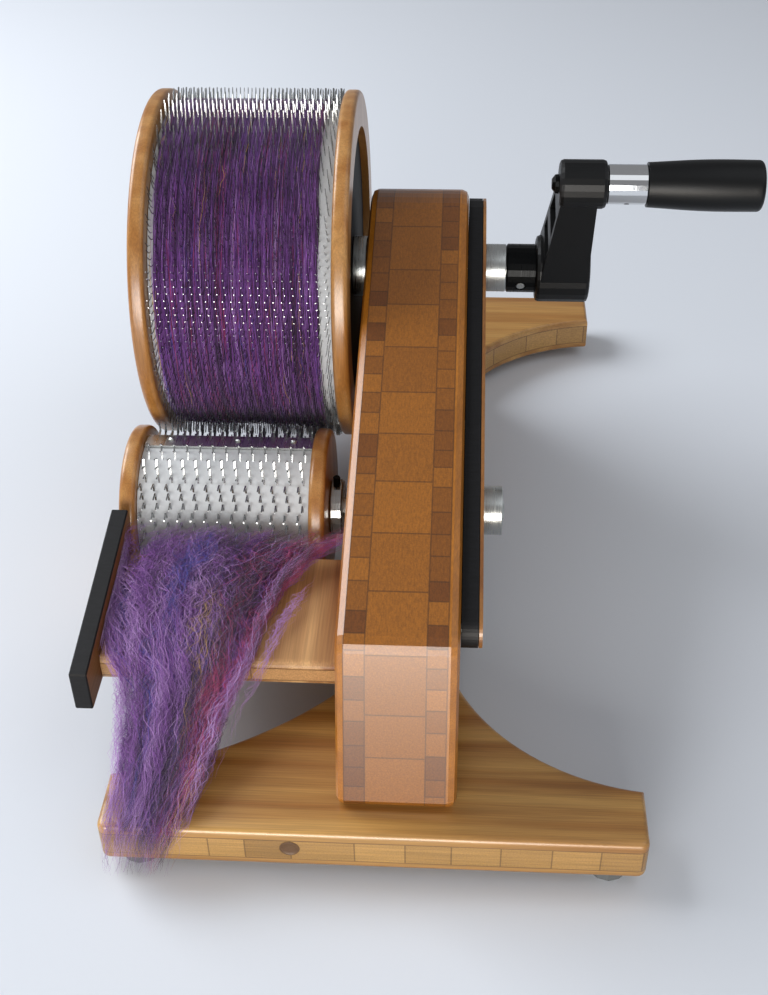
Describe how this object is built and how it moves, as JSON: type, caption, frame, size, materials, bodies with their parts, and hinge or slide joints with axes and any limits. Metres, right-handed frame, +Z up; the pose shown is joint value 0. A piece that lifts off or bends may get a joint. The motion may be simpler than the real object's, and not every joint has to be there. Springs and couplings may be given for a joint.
{
  "type": "drum carder",
  "caption": "Hand-cranked drum carder: a large carded drum and a small licker-in with bent wire teeth on one laminated upright, fed from a wooden tray",
  "frame": {"origin": "on the table, under the middle of the bounding box", "axes": "+X along the shafts towards the crank, +Y from the infeed tray to the back, +Z up"},
  "size_m": [0.3108, 0.45, 0.2245],
  "materials": {
    "bamboo": "satin lacquer over laminated bamboo",
    "carbonised_bamboo": "satin lacquer",
    "charred_board": "laser-cut edge",
    "black_board": "matt",
    "core_board": "raw board",
    "steel": "turned",
    "chrome": "polished",
    "black_steel": "black oxide",
    "black_plastic": "moulded nylon",
    "grip_plastic": "fine texture",
    "card_cloth": "rubber-faced backing with bent wire teeth",
    "rubber": "matt",
    "belt_rubber": "smooth",
    "bronze": "sintered",
    "beech": "raw",
    "dyed_wool": "loose fibre"
  },
  "bodies": {
    "frame": {"base_plate": "bamboo", "upright": "bamboo", "foot_front_left": "rubber", "foot_front_right": "rubber", "foot_rear_left": "rubber", "foot_rear_right": "rubber", "base_screw_front": "steel", "base_screw_middle": "steel", "base_screw_rear": "steel", "belt_housing": "charred_board", "belt_cover": "carbonised_bamboo", "cover_screw_front": "steel", "cover_screw_middle": "steel", "cover_screw_rear": "steel", "drive_belt": "belt_rubber", "drum_bearing_left": "bronze", "drum_bearing_right": "bronze", "licker_bearing_left": "bronze", "licker_bearing_right": "bronze", "infeed_tray": "bamboo", "tray_guard": "charred_board", "tray_dowel_front": "beech", "tray_dowel_rear": "beech", "guard_screw_front": "steel", "guard_screw_rear": "steel", "feed_fibre": "dyed_wool"},
    "drum": {"drum_core": "core_board", "drum_card_cloth": "card_cloth", "drum_flange_left": "carbonised_bamboo", "drum_flange_right": "carbonised_bamboo", "drum_end_disc_left": "black_board", "drum_end_disc_right": "black_board", "drum_end_nut": "steel", "drum_hub": "steel", "drum_shaft": "steel", "drum_pulley": "black_plastic", "drum_outer_collar": "steel", "crank_hub": "black_steel", "crank_set_screw": "steel", "crank_arm": "black_plastic", "grip_spindle": "black_steel", "grip_sleeve": "chrome"},
    "licker": {"licker_core": "core_board", "licker_card_cloth": "card_cloth", "licker_flange_left": "carbonised_bamboo", "licker_flange_right": "carbonised_bamboo", "licker_seam_bar": "steel", "licker_inner_collar": "steel", "licker_collar_screw": "black_steel", "licker_shaft": "steel", "licker_pulley": "black_plastic", "licker_outer_collar": "steel"},
    "grip": {"grip_handle": "grip_plastic"}
  },
  "joints": [
    {"name": "drum_spin", "type": "hinge", "parent": "frame", "child": "drum", "pos_m": [0, 0.0684, 0.1333], "axis": [1, 0, 0], "continuous": true},
    {"name": "licker_spin", "type": "hinge", "parent": "frame", "child": "licker", "pos_m": [0, -0.03624, 0.0512], "axis": [1, 0, 0], "continuous": true},
    {"name": "grip_spin", "type": "hinge", "parent": "drum", "child": "grip", "pos_m": [0.1277, 0.04353, 0.19335], "axis": [1, 0, 0], "continuous": true}
  ],
  "couplings": [
    {"joint": "licker_spin", "follows": "drum_spin", "ratio": -0.28571}
  ]
}
